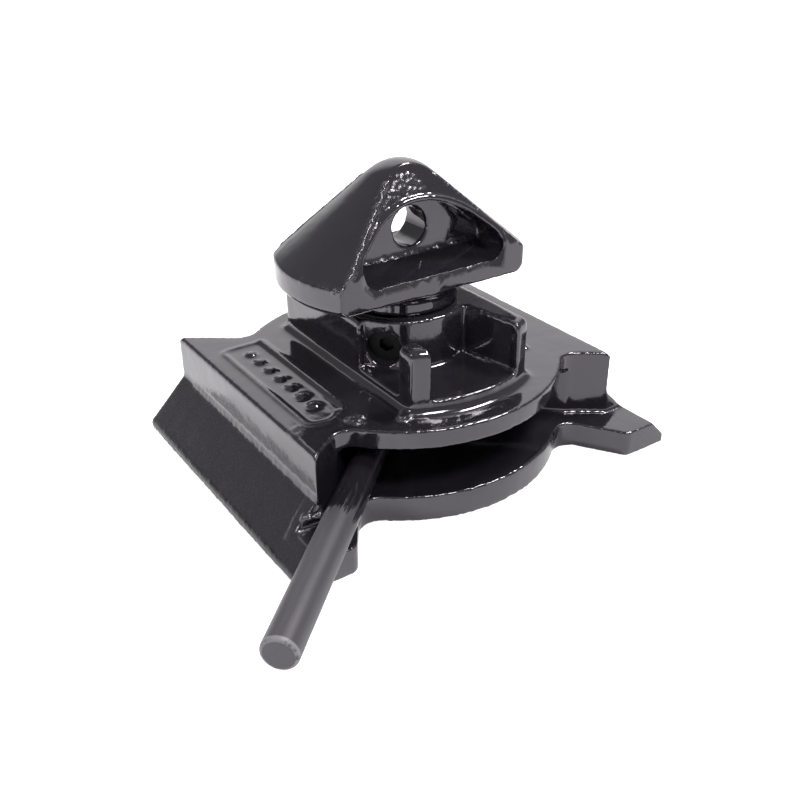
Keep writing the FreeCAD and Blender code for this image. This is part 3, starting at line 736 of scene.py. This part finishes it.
def joined(name, pieces):
    """One object with the meshes of several; the pieces go."""
    bm = bmesh.new()
    for piece in pieces:
        bm.from_mesh(piece.data)
    mesh = bpy.data.meshes.new(name)
    bm.to_mesh(mesh)
    bm.free()
    for piece in pieces:
        dropped(piece)
    return linked(name, mesh)


def closed_copy(node):
    """Copy of a node's triangles with its shared corners merged."""
    bm = bmesh.new()
    bm.from_mesh(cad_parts[node].data)
    bmesh.ops.remove_doubles(bm, verts=bm.verts, dist=MERGE)
    mesh = bpy.data.meshes.new(node + "_copy")
    bm.to_mesh(mesh)
    bm.free()
    return linked(node + "_copy", mesh)


def cast_piece(node, name, body, material, voxel, relief, smooth_parts=(), rough_parts=()):
    """Fine even mesh over the exact solid and its added shapes, given relief, thinned where flat.
    The rough parts also serve as marks: the mesh near them is rough and keeps its jags."""
    marks = joined(name + "_marks", list(rough_parts)) if rough_parts else None
    extra = [linked(name + "_rough", marks.data.copy())] if marks else []
    piece = joined(name, [closed_copy(node), *smooth_parts, *extra])
    even = piece.modifiers.new("even", "REMESH")
    even.mode = "VOXEL"
    even.voxel_size = voxel * MM
    even.use_smooth_shade = True
    if marks:
        geometry_modifier(piece, ROUGH_NEAR, {"Marks": marks, "Material": material})
    low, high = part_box(node)
    values = {"Material": material, "Box Low": low, "Box High": high}
    geometry_modifier(piece, RELIEF, {**values, **relief})
    piece = baked(piece, name)
    fine = len(piece.data.polygons) * 2
    if fine > MOST_TRIANGLES:
        thin = piece.modifiers.new("thin", "DECIMATE")
        thin.ratio = MOST_TRIANGLES / fine
    if marks:
        geometry_modifier(piece, ROUGH_NEAR, {"Marks": marks, "Material": material})
    piece = baked(piece, name)
    if marks:
        dropped(marks)
    piece.data.shade_smooth()
    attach(piece, body)
    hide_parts(node)
    print(name, "triangles:", fine, "thinned to", sum(len(p.vertices) - 2 for p in piece.data.polygons))


print("pieces get at most", MOST_TRIANGLES, "triangles")

# %% [markdown]
# ## Housing
# The housing is one iron casting. On its left block a thin raised border frames the place of a
# foundry's label, and inside it stands a row of plain pips. The foundry's feeders left lumps on the
# top, and ragged lines run along the foot of each block and along the sills, where flash was dressed.

# %% Housing sizes
BLOCK_TOP, FLANK_TOP, SILL_TOP = 42.5, 23.0, 4.0
FLANK_FRONT, FLANK_BACK = -56.0, 58.0
PANEL = [(-67.0, 44.0), (-47.5, 44.0), (-47.5, -31.0), (-58.0, -37.5), (-67.0, -35.0)]
PANEL_CORNER = 3.5
PIP_X, PIP_FIRST, PIP_STEP, PIP_COUNT = -57.3, 34.0, 9.4, 7
PIP_RING, PIP_SIZE = 1.0, 1.7       # a pip is a ring so fat that its hole is closed
print("housing box, mm:", [round(v, 1) for v in (*housing_low, *housing_high)])


# %% Housing details
def flat_disc(x, y, z, radius, count=12):
    """Corners of a level polygon that stands in for a disc."""
    turns = [2 * math.pi * i / count for i in range(count)]
    return [(x + radius * math.cos(turn), y + radius * math.sin(turn), z) for turn in turns]


def round_pips():
    """A plain row of raised pips where a label would be."""
    rings = [flat_disc(PIP_X, PIP_FIRST - i * PIP_STEP, BLOCK_TOP, PIP_RING) for i in range(PIP_COUNT)]
    return [bead(f"pip_{i}", ring, PIP_SIZE, closed=True) for i, ring in enumerate(rings)]


def housing_lumps():
    """Lumps of metal and burnt sand on the top, the left wing and the foot of the collar."""
    return [crumbs("lump_feeder", flat_disc(-49.0, -42.0, BLOCK_TOP, 3.0), 1.5, 2.0, 3),
            crumbs("lump_edge", flat_disc(-72.5, -36.0, BLOCK_TOP - 0.4, 2.5), 1.1, 2.4, 4),
            crumbs("lump_wing", flat_disc(-78.0, -55.0, 17.0, 3.5), 1.6, 2.2, 5),
            crumbs("lump_foot", flat_disc(-33.5, -51.5, BLOCK_TOP + 1.2, 1.8), 1.3, 1.9, 6),
            bead("run_wing", [(-77.5, -50.0, 20.0), (-83.0, -51.5, 15.0), (-89.0, -54.0, 9.0)], 1.1, jag=1.4)]


def dressed_corners():
    """Ragged lines left along the foot of each block and along the lower edges of the flanks."""
    lines = []
    for side in (-1, 1):
        for name, x, z in (("foot", BLOCK_SIDE, FLANK_TOP), ("sill", SILL_SIDE - 0.7, SILL_TOP),
                           ("sole", SILL_SIDE - 0.7, 0.6)):
            ends = [(side * x, FLANK_FRONT, z), (side * x, FLANK_BACK, z)]
            lines.append(bead(f"{name}_{side}", ends, 0.65, jag=1.9, jag_size=2.4))
    return lines


border = bead("label_border", [(x, y, BLOCK_TOP) for x, y in PANEL], 1.0, closed=True, corner=PANEL_CORNER)
housing_rough = housing_lumps() + dressed_corners()
cast_piece("housing", "cast_housing", "base", HOUSING_PAINT, 0.8,
           {"Wave Size": 13.0, "Wave Depth": 0.3, "Edge Size": 2.2, "Edge Depth": 0.6, "Blur": 3},
           [border, *round_pips()], housing_rough)

# %% [markdown]
# ## Spindle
# Head, neck and shaft are one forging. Each flat side of the head has a pocket with a low bead round
# its mouth. Where the cone meets the flat side the dies left a ragged line of flash, and the top of
# each flat side carries a coarse patch. The web between the pockets is not upright: it leans back, as
# every forged wall does, so that the die can leave it.

# %% Spindle sizes, from the frame
spindle_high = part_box("spindle")[1] / MM
HEAD_RADIUS = spindle_high.x
HEAD_SIDE = 27.5                    # half thickness across the flat sides
HEAD_TOP = spindle_high.z
HEAD_LOW = HEAD_TOP - 50.0          # lengths called high are measured up from here
BAND_HIGH, BEND_HIGH, NOSE_HIGH = 11.5, 14.0, 44.0
SIDE_LEAN, CONE_SLOPE = math.tan(math.radians(32)), math.tan(math.radians(50))
CONE_TIP = HEAD_LOW + BAND_HIGH + HEAD_RADIUS / CONE_SLOPE
MOUTH_LOW, MOUTH_TOP, MOUTH_CORNER, MOUTH_CROWN, MOUTH_SLOPE = 7.0, 36.5, 8.0, 40.0, 40
WEB_FACE, HOLE_HIGH, HOLE_RADIUS = 7.0, 23.4, 8.5
WEB_LOW, WEB_HIGH, WEB_WIDE, WEB_NARROW, WEB_BACK, WEB_LEAN = 9.0, 35.5, 35.0, 15.5, 1.0, 4.0
RIDGE_HIGH, RIDGE_HALF, LIP_HIGH, LIP_HALF = 12.0, 33.0, 7.2, 27.0
print("head, mm: radius", round(HEAD_RADIUS, 1), "from", round(HEAD_LOW, 1), "to", round(HEAD_TOP, 1))


# %% Spindle details
def on_side(x, high):
    """Point on the head's front flat side, which leans back above the bend."""
    lean = max(0.0, high - BEND_HIGH) * SIDE_LEAN
    return (x, -HEAD_SIDE + lean, HEAD_LOW + high)


def arc(cx, cz, radius, start, end, count):
    turns = [math.radians(start + (end - start) * i / count) for i in range(count + 1)]
    return [(cx + radius * math.cos(a), cz + radius * math.sin(a)) for a in turns]


def mouth():
    """Outline of a pocket's mouth: a crown, two straight sides and two round lower corners."""
    slope = math.radians(MOUTH_SLOPE)
    peak = MOUTH_TOP + MOUTH_CROWN * (1 / math.cos(slope) - 1)
    x = (peak - MOUTH_LOW) / math.tan(slope) - MOUTH_CORNER / math.tan(slope / 2)
    high = MOUTH_LOW + MOUTH_CORNER
    outline = arc(0, MOUTH_TOP - MOUTH_CROWN, MOUTH_CROWN, 90 + MOUTH_SLOPE, 90 - MOUTH_SLOPE, 16)
    outline += arc(x, high, MOUTH_CORNER, 90 - MOUTH_SLOPE, -90, 8)
    outline += arc(-x, high, MOUTH_CORNER, -90, -270 + MOUTH_SLOPE, 8)
    return [on_side(x, high) for x, high in outline]


def flash_line(side):
    """Where the cone meets the front flat side, from the band up to the nose."""
    points, steps = [], 24
    for i in range(steps + 1):
        y, z = on_side(0, BEND_HIGH + (NOSE_HIGH - BEND_HIGH) * i / steps)[1:]
        radius = (CONE_TIP - z) * CONE_SLOPE
        x = side * math.sqrt(max(radius * radius - y * y, 0.0))
        points.append((x, y, z))
    return points


def on_web(high):
    """How far forward the leaning web is at some height on the head's front side."""
    return -WEB_FACE - (WEB_HIGH - high) * math.tan(math.radians(WEB_LEAN))


def web_face():
    """Wedge that makes the web lean, with the cross hole cut through it."""
    top, low = HEAD_LOW + WEB_HIGH, HEAD_LOW + WEB_LOW
    bend = top - (WEB_WIDE - WEB_NARROW) * math.tan(math.radians(MOUTH_SLOPE))
    outline = [(-WEB_WIDE, low), (WEB_WIDE, low), (WEB_WIDE, bend), (WEB_NARROW, top),
               (-WEB_NARROW, top), (-WEB_WIDE, bend)]
    front = [(x, on_web(z - HEAD_LOW), z) for x, z in outline]
    back = [(x, -WEB_FACE + WEB_BACK, z) for x, z in outline]
    n = len(outline)
    faces = [tuple(range(n)), tuple(reversed(range(n, 2 * n)))]
    faces += [(i, i + n, (i + 1) % n + n, (i + 1) % n) for i in range(n)]
    mesh = bpy.data.meshes.new("web_face")
    mesh.from_pydata([[v * MM for v in p] for p in front + back], [], faces)
    bm = bmesh.new()
    bm.from_mesh(mesh)
    bmesh.ops.recalc_face_normals(bm, faces=bm.faces)
    bm.to_mesh(mesh)
    bm.free()
    return linked("web_face", mesh)


def hole_tool():
    bm = bmesh.new()
    turn = Matrix.Translation((0, 0, (HEAD_LOW + HOLE_HIGH) * MM)) @ Matrix.Rotation(math.pi / 2, 4, "X")
    bmesh.ops.create_cone(bm, cap_ends=True, segments=64, radius1=HOLE_RADIUS * MM, radius2=HOLE_RADIUS * MM,
                          depth=4 * HEAD_SIDE * MM, matrix=turn)
    mesh = bpy.data.meshes.new("hole_tool")
    bm.to_mesh(mesh)
    bm.free()
    return linked("hole_tool", mesh)


def drilled(piece, tool, name):
    cut = piece.modifiers.new("cut", "BOOLEAN")
    cut.operation = "DIFFERENCE"
    cut.object = tool
    cut.solver = "EXACT"
    done = baked(piece, name)
    dropped(tool)
    return done


def half_turned(piece, name):
    """Copy of a shape half a turn round the spindle."""
    mesh = piece.data.copy()
    mesh.transform(Matrix.Rotation(math.pi, 4, "Z"))
    return linked(name, mesh)


# %% Dressed spindle
web = drilled(web_face(), hole_tool(), "web_front")
smooth_parts = [web, half_turned(web, "web_back")]
rough_parts = []
ridge = [(x, on_web(RIDGE_HIGH), HEAD_LOW + RIDGE_HIGH) for x in (-RIDGE_HALF, RIDGE_HALF)]
lip = [on_side(x, LIP_HIGH) for x in (-LIP_HALF, LIP_HALF)]
patch = [on_side(x, high)
         for x, high in ((-18, 35), (-10, 38), (5, 39.3), (3, 43), (-1, 46.5), (-6, 45.5), (-12, 41))]
band_edge = [(-52.3, -8.0, 90.6), (-50.9, -8.0, 90.9), (-44.6, -27.0, 90.9), (-46.0, -28.0, 90.6)]
for name, turn in (("front", list), ("back", turned_half)):
    smooth_parts.append(bead(f"mouth_{name}", turn(mouth()), 1.3, closed=True))
    for side, size, jag in ((-1, 1.3, 3.2), (1, 0.45, 0.6)):
        rough_parts.append(bead(f"flash_{name}_{side}", turn(flash_line(side)), size, jag=jag, jag_size=2.2))
    rough_parts.append(bead(f"ridge_{name}", turn(ridge), 0.8, jag=2.6, jag_size=3.0))
    rough_parts.append(bead(f"lip_{name}", turn(lip), 1.5, jag=1.8, jag_size=1.8))
    rough_parts.append(crumbs(f"patch_{name}", turn(patch), 0.7, 1.8, 11))
    rough_parts.append(crumbs(f"band_{name}", turn(band_edge), 1.15, 1.7, 12))

cast_piece("spindle", "forged_spindle", "turning", SPINDLE_PAINT, 0.6,
           {"Wave Size": 12.0, "Wave Depth": 0.32, "Edge Size": 2.0, "Edge Depth": 0.5, "Blur": 3},
           smooth_parts, rough_parts)

# %% [markdown]
# ## Handle
# The handle is a bar cut from round stock. Its paint, above, has the thick dip near the lock and a
# thin satin coat further out. Its mesh only needs softer edges and slight waves.

# %% Handle
cast_piece("handle", "handle_bar", "turning", HANDLE_PAINT, 0.5,
           {"Wave Size": 20.0, "Wave Depth": 0.25, "Edge Size": 1.6, "Edge Depth": 0.2, "Blur": 2})
